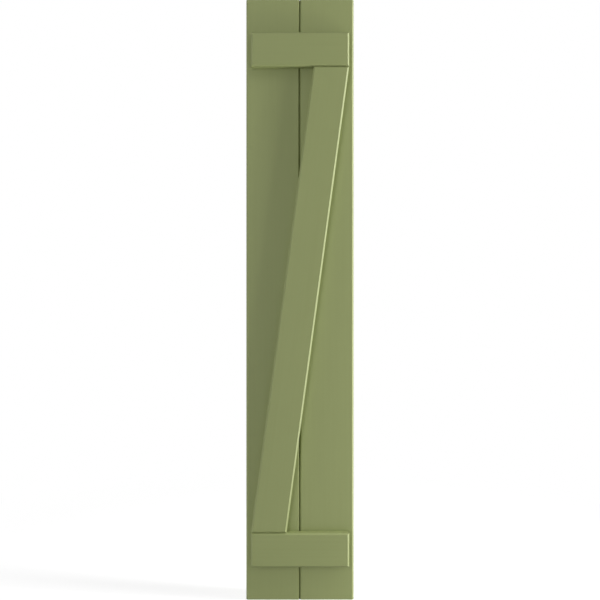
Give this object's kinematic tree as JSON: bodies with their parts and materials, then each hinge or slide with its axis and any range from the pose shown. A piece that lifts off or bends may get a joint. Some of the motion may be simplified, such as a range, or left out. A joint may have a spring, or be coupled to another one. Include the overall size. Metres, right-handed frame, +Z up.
{
  "type": "board and batten shutter",
  "caption": "Fixed exterior window shutter: upright tongue-and-groove boards held by cross battens and a diagonal brace, painted moss green.",
  "frame": {"origin": "middle of the flat back, at half height, on the line where the two boards meet", "axes": "+X to the right as seen from the front, +Y into the wall behind the shutter so the front faces -Y, +Z up"},
  "size_m": [0.273, 0.0381, 1.524],
  "materials": {
    "board_paint": "satin",
    "batten_paint": "satin"
  },
  "bodies": {
    "root": {"left_board": "board_paint", "right_board": "board_paint", "top_batten": "batten_paint", "bottom_batten": "batten_paint", "diagonal_brace": "batten_paint"}
  },
  "joints": []
}
